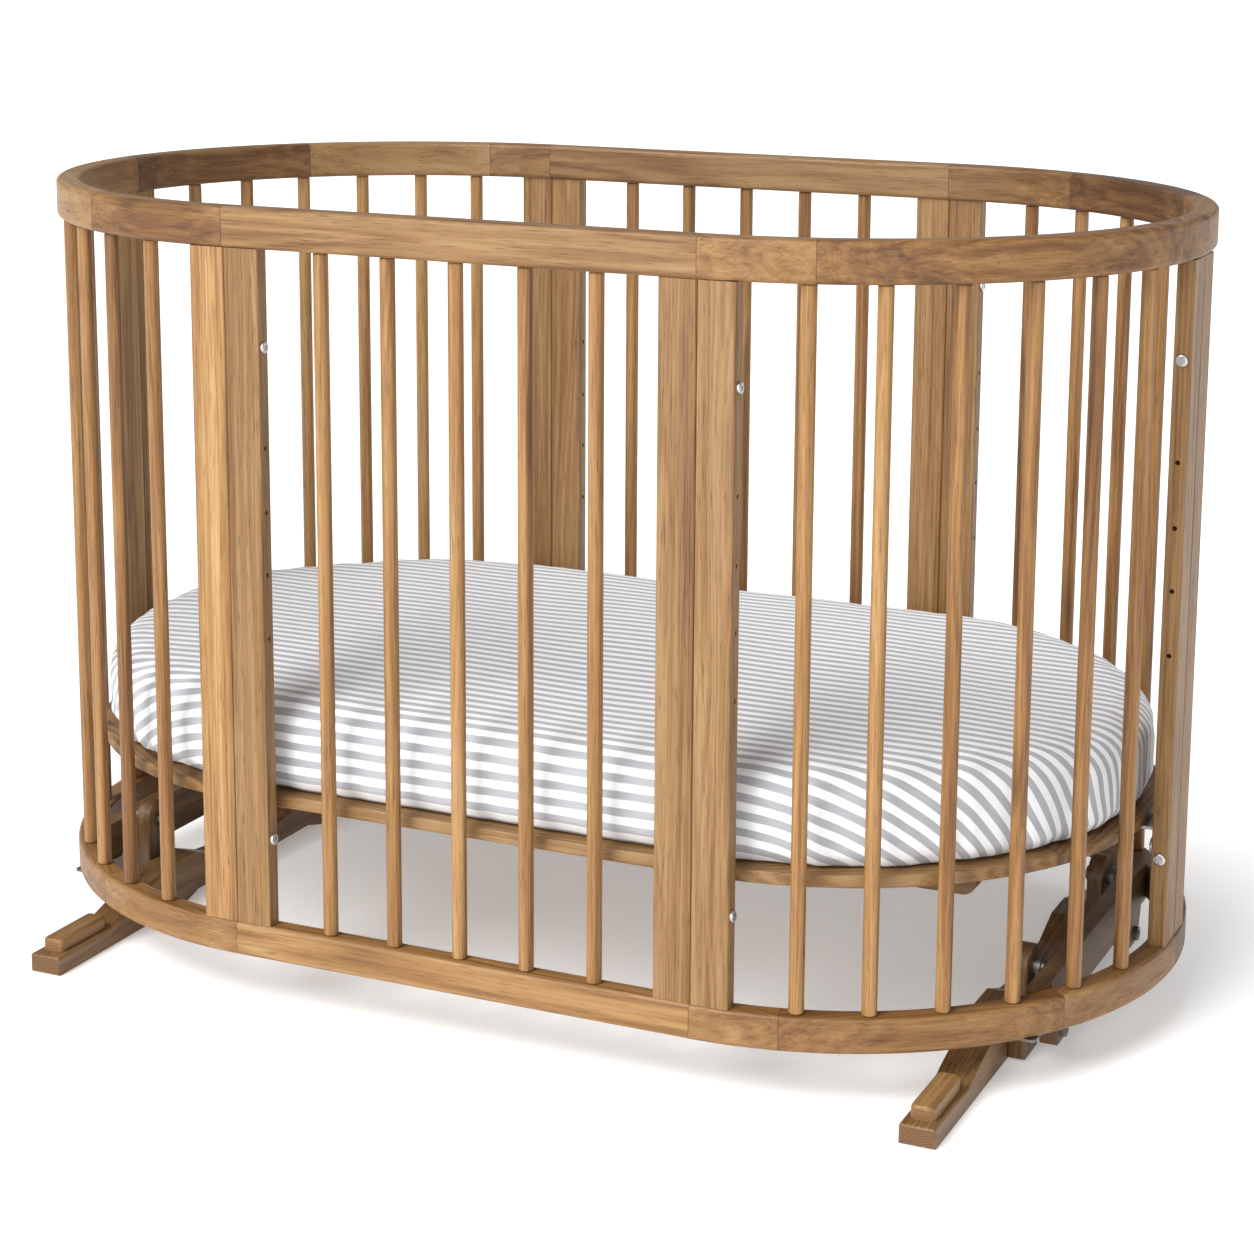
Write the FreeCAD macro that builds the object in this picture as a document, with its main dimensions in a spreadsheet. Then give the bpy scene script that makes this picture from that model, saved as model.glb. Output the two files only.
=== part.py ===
# Oval baby crib on a pair of swing feet.
# Six ring segments (two straight panels, four quarter arcs) are bolted post to
# post into a 1250 x 750 mm oval.  The ring hangs on short steel links from two
# floor feet, so it can swing sideways; four turn blocks lock it.
# Millimetres, +Z up, origin on the floor under the middle of the oval.
import FreeCAD, Part
import os, math
import Sketcher
from FreeCAD import Vector as V, Placement, Rotation

os.makedirs("parts", exist_ok=True)
doc = FreeCAD.newDocument("crib")

# ------------------------------------------------------------ driving sizes
sheet = doc.addObject("Spreadsheet::Sheet", "dims")
SIZES = [
    ("straight_len", 500), ("ring_radius", 375), ("rail_width", 25),
    ("ring_bottom", 57), ("low_rail_height", 35), ("post_length", 690),
    ("top_rail_height", 40), ("post_width", 38.5), ("post_thick", 18),
    ("post_inset", 2.5), ("spindle_dia", 15), ("tenon_dia", 10),
    ("tenon_len", 12), ("tenon_play", 0.1), ("rail_round", 5),
    ("post_round", 2), ("bolt_dia", 6), ("bolt_hole", 6.4),
    ("bolt_head", 12), ("bolt_head_height", 3), ("bolt_z_low", 183),
    ("bolt_z_high", 685), ("foot_half_len", 386), ("foot_width", 36),
    ("foot_tip_height", 20), ("foot_x", 482), ("hanger_y", 140),
    ("pivot_high", 92), ("pivot_low", 32), ("pin_dia", 8),
    ("pin_play", 0.05), ("link_thick", 4), ("link_width", 20),
    ("base_low", 209), ("base_thick", 13), ("base_radius", 343),
    ("base_rim", 42), ("slat_thick", 9), ("slat_width", 42),
    ("mattress_radius", 341), ("mattress_height", 88),
    ("block_len", 84), ("block_width", 24), ("block_height", 14),
]
for i, (name, val) in enumerate(SIZES, 1):
    sheet.set("A%d" % i, name)
    sheet.set("B%d" % i, str(val))
    sheet.setAlias("B%d" % i, name)
doc.recompute()
D = dict((n, float(sheet.get(n))) for n, _ in SIZES)
HALF = D["straight_len"] / 2
RO = D["ring_radius"]
RW = D["rail_width"]
RM = RO - RW / 2
Z0 = D["ring_bottom"]
ZP0 = Z0 + D["low_rail_height"]
ZP1 = ZP0 + D["post_length"]
ZTOP = ZP1 + D["top_rail_height"]
PANEL_X = [-146.0, -73.0, 0.0, 73.0, 146.0]
ARC_DEG = [15.8, 26.6, 37.8, 49.3, 61.0, 72.6]
NODES = []


def plane(body, role):
    for f in body.Origin.OriginFeatures:
        if f.Role == role:
            return f


def new_body(label):
    b = doc.addObject("PartDesign::Body", label)
    b.Label = label
    return b


def sketch_on(body, name, role, offset=0.0):
    s = body.newObject("Sketcher::SketchObject", name)
    s.AttachmentSupport = (plane(body, role), [""])
    s.MapMode = "FlatFace"
    s.AttachmentOffset = Placement(V(0, 0, offset), Rotation())
    return s


def rect(s, x0, y0, x1, y1):
    p = [V(x0, y0, 0), V(x1, y0, 0), V(x1, y1, 0), V(x0, y1, 0)]
    g = [s.addGeometry(Part.LineSegment(p[i], p[(i + 1) % 4]), False) for i in range(4)]
    for i in range(4):
        s.addConstraint(Sketcher.Constraint("Coincident", g[i], 2, g[(i + 1) % 4], 1))
    s.addConstraint(Sketcher.Constraint("Horizontal", g[0]))
    s.addConstraint(Sketcher.Constraint("Vertical", g[1]))
    s.addConstraint(Sketcher.Constraint("Horizontal", g[2]))
    s.addConstraint(Sketcher.Constraint("Vertical", g[3]))
    return g


def poly(s, pts):
    n = len(pts)
    g = [s.addGeometry(Part.LineSegment(V(*pts[i], 0), V(*pts[(i + 1) % n], 0)), False) for i in range(n)]
    for i in range(n):
        s.addConstraint(Sketcher.Constraint("Coincident", g[i], 2, g[(i + 1) % n], 1))
    return g


def pad(body, s, expr, name, reverse=False, mid=False):
    p = body.newObject("PartDesign::Pad", name)
    p.Profile = s
    p.setExpression("Length", expr)
    p.Reversed = reverse
    p.Midplane = mid
    return p


def pocket(body, s, expr, name, through=False, reverse=False, mid=False):
    p = body.newObject("PartDesign::Pocket", name)
    p.Profile = s
    if through:
        p.Type = "ThroughAll"
    else:
        p.setExpression("Length", expr)
    p.Reversed = reverse
    p.Midplane = mid
    return p


def keep(obj, label, place=None):
    obj.Label = label
    if place is not None:
        obj.Placement = place
    NODES.append((label, obj))
    return obj


TURN = Placement(V(0, 0, 0), Rotation(V(0, 0, 1), 180))


def mirrored(shape, x=False, y=False):
    r = shape
    if x:
        r = r.mirror(V(0, 0, 0), V(1, 0, 0))
    if y:
        r = r.mirror(V(0, 0, 0), V(0, 1, 0))
    return r


def feature(label, shape):
    f = doc.addObject("Part::Feature", label)
    f.Shape = shape
    NODES.append((label, f))
    return f


# ------------------------------------------------------------ ring rails
def round_long_edges(body, pred, expr, name):
    doc.recompute()
    tip = body.Tip
    names = ["Edge%d" % (i + 1) for i, e in enumerate(tip.Shape.Edges) if pred(e)]
    f = body.newObject("PartDesign::Fillet", name)
    f.Base = (tip, names)
    f.setExpression("Radius", expr)
    return f


def straight_rail(label, y_sign, top):
    """Rail of a straight panel with five spindle sockets."""
    b = new_body(label)
    s = sketch_on(b, label + "_plan", "XY_Plane")
    rect(s, -HALF + 0.2, -RO, HALF - 0.2, -RO + RW)
    pad(b, s, "dims.top_rail_height" if top else "dims.low_rail_height", label + "_pad")
    z_lo, h = (0.0, D["top_rail_height"]) if top else (0.0, D["low_rail_height"])
    face = 0.0 if top else h
    h_s = sketch_on(b, label + "_sockets", "XY_Plane", face)
    for x in PANEL_X:
        c = h_s.addGeometry(Part.Circle(V(x, -RM, 0), V(0, 0, 1), D["tenon_dia"] / 2 + D["tenon_play"]), False)
        k = h_s.addConstraint(Sketcher.Constraint("Radius", c, D["tenon_dia"] / 2 + D["tenon_play"]))
        h_s.setExpression("Constraints[%d]" % k, "dims.tenon_dia / 2 + dims.tenon_play")
    pocket(b, h_s, "dims.tenon_len + 1", label + "_bores", reverse=top)
    round_long_edges(b, lambda e: e.Curve.TypeId == "Part::GeomLine" and abs(e.Length - 2 * HALF + 0.4) < 0.01,
                     "dims.rail_round" if top else "dims.rail_round - 1", label + "_round")
    z = ZP1 if top else Z0
    pl = Placement(V(0, 0, z), Rotation())
    if y_sign > 0:
        pl = pl * TURN
    keep(b, label, pl)


def arc_rail(label, quad, top):
    """Quarter-ring rail of laminated blocks with six spindle sockets."""
    b = new_body(label)
    s = sketch_on(b, label + "_plan", "XY_Plane")
    g = 0.2 / RO
    c = V(HALF, 0, 0)
    a0, a1 = -math.pi / 2 + g, -g
    def P(r, a):
        return V(HALF + r * math.cos(a), r * math.sin(a), 0)
    ids = [
        s.addGeometry(Part.ArcOfCircle(Part.Circle(c, V(0, 0, 1), RO), a0, a1), False),
        s.addGeometry(Part.LineSegment(P(RO, a1), P(RO - RW, a1)), False),
        s.addGeometry(Part.ArcOfCircle(Part.Circle(c, V(0, 0, 1), RO - RW), a0, a1), False),
        s.addGeometry(Part.LineSegment(P(RO - RW, a0), P(RO, a0)), False)]
    s.addConstraint(Sketcher.Constraint("Coincident", ids[0], 2, ids[1], 1))
    s.addConstraint(Sketcher.Constraint("Coincident", ids[1], 2, ids[2], 2))
    s.addConstraint(Sketcher.Constraint("Coincident", ids[2], 1, ids[3], 1))
    s.addConstraint(Sketcher.Constraint("Coincident", ids[3], 2, ids[0], 1))
    k = s.addConstraint(Sketcher.Constraint("Radius", ids[0], RO))
    s.setExpression("Constraints[%d]" % k, "dims.ring_radius")
    k = s.addConstraint(Sketcher.Constraint("Radius", ids[2], RO - RW))
    s.setExpression("Constraints[%d]" % k, "dims.ring_radius - dims.rail_width")
    pad(b, s, "dims.top_rail_height" if top else "dims.low_rail_height", label + "_pad")
    h = D["top_rail_height"] if top else D["low_rail_height"]
    h_s = sketch_on(b, label + "_sockets", "XY_Plane", 0.0 if top else h)
    for d in ARC_DEG:
        a = math.radians(-90 + d)
        q = h_s.addGeometry(Part.Circle(V(HALF + RM * math.cos(a), RM * math.sin(a), 0), V(0, 0, 1),
                                        D["tenon_dia"] / 2 + D["tenon_play"]), False)
        k = h_s.addConstraint(Sketcher.Constraint("Radius", q, D["tenon_dia"] / 2 + D["tenon_play"]))
        h_s.setExpression("Constraints[%d]" % k, "dims.tenon_dia / 2 + dims.tenon_play")
    pocket(b, h_s, "dims.tenon_len + 1", label + "_bores", reverse=top)
    round_long_edges(b, lambda e: e.Curve.TypeId == "Part::GeomCircle" and e.Curve.Radius > 100,
                     "dims.rail_round" if top else "dims.rail_round - 1", label + "_round")
    z = ZP1 if top else Z0
    doc.recompute()
    if quad == "fr":
        keep(b, label, Placement(V(0, 0, z), Rotation()))
    elif quad == "bl":
        keep(b, label, Placement(V(0, 0, z), Rotation()) * TURN)
    else:
        # the opposite hand is a mirror of the same laminated quarter
        m = doc.addObject("Part::Mirroring", label + "_hand")
        m.Source = b
        m.Normal = (1, 0, 0)
        doc.recompute()
        pl = Placement(V(0, 0, z), Rotation())
        if quad == "br":
            pl = pl * TURN
        keep(m, label, pl)


straight_rail("front_panel_bottom_rail", -1, False)
straight_rail("front_panel_top_rail", -1, True)
straight_rail("back_panel_bottom_rail", 1, False)
straight_rail("back_panel_top_rail", 1, True)
QUADS = {"fr": "front_right", "fl": "front_left", "br": "back_right", "bl": "back_left"}
for q, words in QUADS.items():
    arc_rail(words + "_arc_bottom_rail", q, False)
    arc_rail(words + "_arc_top_rail", q, True)

# ------------------------------------------------------------ posts
PO = RO - D["post_inset"]                 # outer face of a post
HOLES_Z = [392.0, 457.0, 520.0, 585.0]    # spare height settings


def post_shape(x0, x1):
    """Flat post of a -Y facing panel with its bolt bores along X."""
    b = Part.makeBox(x1 - x0, D["post_thick"], D["post_length"], V(x0, -PO, ZP0))
    b = b.makeFillet(D["post_round"], [e for e in b.Edges if abs(e.Length - D["post_length"]) < 0.01])
    ym = -PO + D["post_thick"] / 2
    for z in (D["bolt_z_low"], D["bolt_z_high"]):
        b = b.cut(Part.makeCylinder(D["bolt_hole"] / 2, 200, V((x0 + x1) / 2 - 100, ym, z), V(1, 0, 0)))
    return b


def drill(shape, base, axis, r=2.5, depth=9.0):
    for z in HOLES_Z:
        shape = shape.cut(Part.makeCylinder(r, depth + 1, V(base.x, base.y, z) - axis * 1.0, axis))
    return shape


PW = D["post_width"]
YM = -PO + D["post_thick"] / 2
NUT_R, NUT_H = 5.5, 5.0


def nut_wells(shape, joints):
    """Sink round wells for the nuts: joints is a list of (x, y, direction into the post)."""
    for x, y, d in joints:
        for z in (D["bolt_z_low"], D["bolt_z_high"]):
            shape = shape.cut(Part.makeCylinder(NUT_R + 0.05, NUT_H + 1.4, V(x, y, z) - d, d))
    return shape


# straight panel: two posts
sp_l = post_shape(-HALF + 0.1, -HALF + PW)
sp_r = post_shape(HALF - PW, HALF - 0.1)
sp_l = drill(sp_l, V(-HALF + PW, YM, 0), V(-1, 0, 0))
sp_r = drill(sp_r, V(HALF - PW, YM, 0), V(1, 0, 0))
front_posts = Part.makeCompound([sp_l, nut_wells(sp_r, [(HALF - PW, YM, V(1, 0, 0))])])
feature("front_panel_posts", front_posts)
feature("back_panel_posts", mirrored(front_posts, y=True))
# quarter arc: one post beside the panel, one on the oval's end
qa = drill(post_shape(HALF + 0.1, HALF + PW), V(HALF + PW, YM, 0), V(-1, 0, 0))
qe = post_shape(0.1, PW)
qe = drill(qe, V(PW, YM, 0), V(-1, 0, 0))
qe.rotate(V(0, 0, 0), V(0, 0, 1), 90)     # now faces +X, y from 0.1 to PW
qe.translate(V(HALF, 0, 0))
qe = qe.mirror(V(0, 0, 0), V(0, 1, 0))    # the front half of the end
# nuts sit in the left-hand post of each side joint and in the rear post of each end joint
qa_n = nut_wells(qa, [(HALF + PW, YM, V(-1, 0, 0))])
qe_n = nut_wells(qe, [(HALF - YM, -PW, V(0, 1, 0))])
feature("front_right_arc_posts", Part.makeCompound([qa, qe]))
feature("front_left_arc_posts", mirrored(Part.makeCompound([qa_n, qe]), x=True))
feature("back_right_arc_posts", mirrored(Part.makeCompound([qa, qe_n]), y=True))
feature("back_left_arc_posts", mirrored(Part.makeCompound([qa_n, qe_n]), x=True, y=True))


# ------------------------------------------------------------ spindles
def spindle(x, y):
    r, t, n = D["spindle_dia"] / 2, D["tenon_dia"] / 2, D["tenon_len"]
    z0, z1 = ZP0 + 0.05, ZP1 - 0.05
    pts = [V(0, 0, z0 - n), V(t, 0, z0 - n), V(t, 0, z0), V(r - 1.5, 0, z0), V(r, 0, z0 + 1.5),
           V(r, 0, z1 - 1.5), V(r - 1.5, 0, z1), V(t, 0, z1), V(t, 0, z1 + n), V(0, 0, z1 + n), V(0, 0, z0 - n)]
    s = Part.Face(Part.makePolygon(pts)).revolve(V(0, 0, 0), V(0, 0, 1), 360)
    s.translate(V(x, y, 0))
    return s


panel_sp = Part.makeCompound([spindle(x, -RM) for x in PANEL_X])
feature("front_panel_spindles", panel_sp)
feature("back_panel_spindles", mirrored(panel_sp, y=True))
arc_sp = Part.makeCompound([spindle(HALF + RM * math.sin(math.radians(d)), -RM * math.cos(math.radians(d))) for d in ARC_DEG])
feature("front_right_arc_spindles", arc_sp)
feature("front_left_arc_spindles", mirrored(arc_sp, x=True))
feature("back_right_arc_spindles", mirrored(arc_sp, y=True))
feature("back_left_arc_spindles", mirrored(arc_sp, x=True, y=True))


# ------------------------------------------------------------ connector bolts
def bolt(length, head_r, head_h, shank_r):
    """Pan-head bolt along +X, head seat at x=0, shank towards -X."""
    sh = Part.makeCylinder(shank_r, length, V(-length, 0, 0), V(1, 0, 0))
    hd = Part.makeCylinder(head_r, head_h, V(0, 0, 0), V(1, 0, 0))
    hd = hd.makeFillet(head_h * 0.55, [e for e in hd.Edges if e.Curve.TypeId == "Part::GeomCircle" and e.BoundBox.XMin > head_h / 2])
    b = sh.fuse(hd)
    for ang in (45, 135):
        c = Part.makeBox(1.5, head_r * 1.1, 1.3, V(head_h - 1.4, -head_r * 0.55, -0.65))
        c.rotate(V(0, 0, 0), V(1, 0, 0), ang)
        b = b.cut(c)
    return b


bolts, nuts = [], []
for z in (D["bolt_z_low"], D["bolt_z_high"]):
    for sx in (-1, 1):
        for sy in (-1, 1):
            b = bolt(2 * PW - 0.6, D["bolt_head"] / 2, D["bolt_head_height"], D["bolt_dia"] / 2)
            b.translate(V(sx * HALF + PW, sy * -YM, z))
            bolts.append(b)
            n = Part.makeCylinder(NUT_R, NUT_H, V(sx * HALF - PW + 0.4, sy * -YM, z), V(1, 0, 0))
            nuts.append(n.cut(Part.makeCylinder(D["bolt_dia"] / 2, NUT_H, V(sx * HALF - PW + 0.4, sy * -YM, z), V(1, 0, 0))))
        # bolts of the oval's end, heads facing the front
        b = bolt(2 * PW - 0.6, D["bolt_head"] / 2, D["bolt_head_height"], D["bolt_dia"] / 2)
        b.rotate(V(0, 0, 0), V(0, 0, 1), -90)
        b.translate(V(sx * (HALF - YM), -PW, z))
        bolts.append(b)
        n = Part.makeCylinder(NUT_R, NUT_H, V(sx * (HALF - YM), PW - 0.4 - NUT_H, z), V(0, 1, 0))
        nuts.append(n.cut(Part.makeCylinder(D["bolt_dia"] / 2, NUT_H, V(sx * (HALF - YM), PW - 0.4 - NUT_H, z), V(0, 1, 0))))
feature("connector_bolts", Part.makeCompound(bolts))
feature("connector_nuts", Part.makeCompound(nuts))

# ------------------------------------------------------------ mattress base
ZB = D["base_low"]
BT = D["base_thick"]
BR = D["base_radius"]
BI = BR - D["base_rim"]


def base_side(label, turn):
    b = new_body(label)
    s = sketch_on(b, label + "_plan", "XY_Plane")
    rect(s, -HALF + 0.15, -BR, HALF - 0.15, -BI)
    pad(b, s, "dims.base_thick", label + "_pad")
    round_long_edges(b, lambda e: e.Curve.TypeId == "Part::GeomLine" and abs(e.Length - 2 * HALF + 0.3) < 0.01,
                     "dims.post_round", label + "_round")
    pl = Placement(V(0, 0, ZB), Rotation())
    keep(b, label, pl * TURN if turn else pl)


base_side("base_rim_front", False)
base_side("base_rim_back", True)


def ring_sector(c, r0, r1, a0, a1, z, h, rnd):
    def P(r, a):
        return V(c.x + r * math.cos(a), c.y + r * math.sin(a), z)
    am = (a0 + a1) / 2
    w = Part.Wire([Part.Arc(P(r1, a0), P(r1, am), P(r1, a1)).toShape(), Part.LineSegment(P(r1, a1), P(r0, a1)).toShape(),
                   Part.Arc(P(r0, a1), P(r0, am), P(r0, a0)).toShape(), Part.LineSegment(P(r0, a0), P(r1, a0)).toShape()])
    s = Part.Face(w).extrude(V(0, 0, h))
    if rnd:
        s = s.makeFillet(rnd, [e for e in s.Edges if e.Curve.TypeId == "Part::GeomCircle"])
    return s


def base_end(sx):
    out = []
    n = 3
    g = 0.15 / BR
    for i in range(n):
        a0 = -math.pi / 2 + math.pi * i / n + g
        a1 = -math.pi / 2 + math.pi * (i + 1) / n - g
        s = ring_sector(V(HALF, 0, 0), BI, BR, a0, a1, ZB, BT, D["post_round"])
        out.append(s if sx > 0 else mirrored(s, x=True))
    return Part.makeCompound(out)


feature("base_rim_right", base_end(1))
feature("base_rim_left", base_end(-1))

# slats sit inside the rim, on two long bearers
slats = []
pitch = 70.0
xs = [-HALF - 255 + pitch * i for i in range(16)]
span = xs[-1] - xs[0]
xs = [x - (xs[0] + span / 2) for x in xs]
for x in xs:
    far = abs(x) + D["slat_width"] / 2 - HALF
    half = BI - 0.3 if far <= 0 else math.sqrt(max((BI - 0.3) ** 2 - far ** 2, 1.0))
    s = Part.makeBox(D["slat_width"], 2 * half, D["slat_thick"], V(x - D["slat_width"] / 2, -half, ZB + BT - D["slat_thick"] - 0.5))
    s = s.makeFillet(1.5, [e for e in s.Edges if abs(e.Length - 2 * half) < 0.01])
    slats.append(s)
feature("base_slats", Part.makeCompound(slats))

BEAR_Y = 190.0
BEAR_Z1 = ZB + BT - D["slat_thick"] - 0.5
bearers = []
for sy in (-1, 1):
    low = Part.makeBox(2 * (HALF + 225), 22, 32, V(-HALF - 225, sy * BEAR_Y - 11, ZB - 32))
    low = low.makeFillet(14, [e for e in low.Edges if abs(e.Length - 22) < 0.01 and e.BoundBox.ZMax < ZB - 1])
    # the long bearer keeps clear of the rim: it ends on the rim's inner curve
    inner = HALF + math.sqrt((BI - 0.3) ** 2 - (BEAR_Y + 11) ** 2)
    up = Part.makeBox(2 * inner, 22, BEAR_Z1 - ZB, V(-inner, sy * BEAR_Y - 11, ZB))
    bearers.append(low.fuse(up).removeSplitter())
feature("base_bearers", Part.makeCompound(bearers))

# six steel angles under the rim, each with a thumb bolt towards the posts
angles, thumb = [], []


def bracket():
    """Angle for a -Y facing joint centred on x=0: flat under the rim, leg on the posts."""
    y_post = -PO + D["post_thick"]
    flat = Part.makeBox(40, 45, 3, V(-20, y_post + 0.4, ZB - 3))
    leg = Part.makeBox(40, 3, 40, V(-20, y_post + 0.4, ZB - 43))
    a = flat.fuse(leg).removeSplitter()
    return a


def thumb_bolt():
    y_post = -PO + D["post_thick"]
    h = Part.makeCylinder(9, 6, V(0, y_post + 3.4, ZB - 26), V(0, 1, 0))
    h = h.makeFillet(1.5, [e for e in h.Edges if e.Curve.TypeId == "Part::GeomCircle" and e.BoundBox.YMin > y_post + 5])
    return h


for sx in (-1, 1):
    for sy in (-1, 1):
        for lst, mk in ((angles, bracket), (thumb, thumb_bolt)):
            s = mk()
            s.translate(V(sx * HALF, 0, 0))
            lst.append(s if sy < 0 else mirrored(s, y=True))
    for lst, mk in ((angles, bracket), (thumb, thumb_bolt)):
        s = mk()
        s.rotate(V(0, 0, 0), V(0, 0, 1), 90)
        s.translate(V(HALF, 0, 0))
        lst.append(s if sx > 0 else mirrored(s, x=True))
feature("base_brackets", Part.makeCompound(angles))
feature("base_thumb_bolts", Part.makeCompound(thumb))

# mattress: one closed oval block with rounded edges
mat = new_body("mattress")
s = sketch_on(mat, "mattress_plan", "XY_Plane")
MR = D["mattress_radius"]
ids = [s.addGeometry(Part.LineSegment(V(-HALF, -MR, 0), V(HALF, -MR, 0)), False),
       s.addGeometry(Part.ArcOfCircle(Part.Circle(V(HALF, 0, 0), V(0, 0, 1), MR), -math.pi / 2, math.pi / 2), False),
       s.addGeometry(Part.LineSegment(V(HALF, MR, 0), V(-HALF, MR, 0)), False),
       s.addGeometry(Part.ArcOfCircle(Part.Circle(V(-HALF, 0, 0), V(0, 0, 1), MR), math.pi / 2, 3 * math.pi / 2), False)]
for i in range(4):
    j = (i + 1) % 4
    s.addConstraint(Sketcher.Constraint("Coincident", ids[i], 2, ids[j], 1))
k = s.addConstraint(Sketcher.Constraint("Radius", ids[1], MR))
s.setExpression("Constraints[%d]" % k, "dims.mattress_radius")
pad(mat, s, "dims.mattress_height", "mattress_pad")
doc.recompute()
tip = mat.Tip
f = mat.newObject("PartDesign::Fillet", "mattress_round")
f.Base = (tip, ["Edge%d" % (i + 1) for i, e in enumerate(tip.Shape.Edges)
                if abs(e.BoundBox.ZMax - e.BoundBox.ZMin) < 0.01])
f.Radius = 18
keep(mat, "mattress", Placement(V(0, 0, ZB + BT + 0.3), Rotation()))

# ------------------------------------------------------------ feet
FX = D["foot_x"]
FW = D["foot_width"]
FL = D["foot_half_len"]
FT = D["foot_tip_height"]
HY = D["hanger_y"]
TIP = 284.0                  # the tip is flat from the end to here


def foot(label, sx):
    """Floor rail: thin tips under the turn blocks, deep shoulders at the hangers."""
    b = new_body(label)
    s = sketch_on(b, label + "_side", "YZ_Plane")
    half = [(FL, 0), (FL, FT), (TIP, FT), (250, 30), (HY + 24, 50), (HY - 24, 50), (72, 34), (36, 30)]
    pts = [(-x, z) for x, z in half]
    pts = pts + [(x, z) for x, z in reversed(half)]
    pts += [(150, 0), (120, 8), (-120, 8), (-150, 0)]
    poly(s, pts)
    pad(b, s, "dims.foot_width", label + "_pad", mid=True)
    round_long_edges(b, lambda e: abs(e.Length - (FL - TIP)) < 0.01 or (abs(e.Length - FT) < 0.01) or
                     (abs(e.Length - FW) < 0.01 and abs(abs(e.BoundBox.YMin) - FL) < 0.01),
                     "dims.post_round + 1", label + "_round")
    keep(b, label, Placement(V(sx * FX, 0, 0), Rotation()))


foot("foot_left", -1)
foot("foot_right", 1)

# hanger boards on the outer side of each foot, rounded at the top; the swing
# parts are drawn on the inner side and reflected in the foot's middle plane
UX1 = FX - FW / 2            # the foot's side face
UX0 = UX1 - 18
ZH, ZL = D["pivot_high"], D["pivot_low"]


def outside(shape):
    return shape.mirror(V(FX, 0, 0), V(1, 0, 0))


def four(shape):
    shape = outside(shape)
    return Part.makeCompound([shape, mirrored(shape, x=True), mirrored(shape, y=True), mirrored(shape, x=True, y=True)])


up = Part.makeBox(18, 44, ZH - 2, V(UX0, -HY - 22, 2))
up = up.fuse(Part.makeCylinder(22, 18, V(UX0, -HY, ZH), V(1, 0, 0))).removeSplitter()
up = up.cut(Part.makeCylinder(D["pin_dia"] / 2, 40, V(UX0 - 5, -HY, ZH), V(1, 0, 0)))
up = up.makeChamfer(1.5, [e for e in up.Edges if e.Curve.TypeId == "Part::GeomCircle" and e.Curve.Radius > 20])
feature("foot_hangers", four(up))


# pivots: pins, washers, links
PR = D["pin_dia"] / 2
LX0 = UX0 - 8.0              # link's inner face
LX1 = LX0 + D["link_thick"]
BX1 = LX0 - 4.2              # swing beam's outer face
BX0 = BX1 - 18


def ring_washer(x0, x1, y, z, r=9.0):
    w = Part.makeCylinder(r, x1 - x0, V(x0, y, z), V(1, 0, 0))
    return w.cut(Part.makeCylinder(PR, x1 - x0, V(x0, y, z), V(1, 0, 0)))


pin_hi = Part.makeCylinder(PR, UX1 + 6 - (LX0 - 0.2), V(LX0 - 0.2, -HY, ZH), V(1, 0, 0))
pin_hi = pin_hi.fuse(Part.makeCylinder(7, 3.2, V(LX0 - 3.4, -HY, ZH), V(1, 0, 0)))
nut_hi = ring_washer(UX1, UX1 + 5, -HY, ZH, 7.5)
pin_lo = Part.makeCylinder(PR, LX1 + 0.2 - (BX0 - 6), V(BX0 - 6, -HY, ZL), V(1, 0, 0))
pin_lo = pin_lo.fuse(Part.makeCylinder(7, 3.2, V(LX1 + 0.2, -HY, ZL), V(1, 0, 0)))
nut_lo = ring_washer(BX0 - 5, BX0, -HY, ZL, 7.5)
feature("hanger_pins", four(pin_hi))
feature("hanger_nuts", four(nut_hi))
feature("hanger_washers", four(ring_washer(LX1 + 0.25, UX0, -HY, ZH)))
feature("beam_pins", four(pin_lo))
feature("beam_nuts", four(nut_lo))
feature("beam_washers", four(ring_washer(BX1, LX0 - 0.25, -HY, ZL)))

W = D["link_width"] / 2
link = Part.makeBox(D["link_thick"], 2 * W, ZH - ZL, V(LX0, -HY - W, ZL))
for z in (ZH, ZL):
    link = link.fuse(Part.makeCylinder(W, D["link_thick"], V(LX0, -HY, z), V(1, 0, 0)))
link = link.removeSplitter()
for z in (ZH, ZL):
    link = link.cut(Part.makeCylinder(PR + D["pin_play"], 20, V(LX0 - 8, -HY, z), V(1, 0, 0)))
link = outside(link)
feature("swing_links_front", Part.makeCompound([link, mirrored(link, x=True)]))
bk = mirrored(link, y=True)
feature("swing_links_back", Part.makeCompound([bk, mirrored(bk, x=True)]))


# swing beams: hung on the links, they carry the ring's bottom rails
def beam_profile():
    top = ZP0 + 5
    lug = [(HY + 28, 57), (HY + 22, 38), (HY + 15, 20), (HY - 15, 20), (HY - 22, 38), (HY - 33, 50)]
    pts = [(-330, 57), (-330, top), (330, top), (330, 57)] + lug
    pts += [(-y, z) for y, z in reversed(lug)]
    return pts


w = Part.makePolygon([V(BX0, y, z) for y, z in beam_profile()] + [V(BX0, -330, 57)])
beam = Part.Face(w).extrude(V(18, 0, 0))
for sy in (-1, 1):
    beam = beam.cut(Part.makeCylinder(PR, 60, V(BX0 - 20, sy * HY, ZL), V(1, 0, 0)))
beam = outside(beam).common(Part.makeCylinder(RO - RW - 0.05, 300, V(HALF, 0, 0), V(0, 0, 1)))
feature("swing_beam_right", beam)
feature("swing_beam_left", mirrored(beam, x=True))

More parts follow.
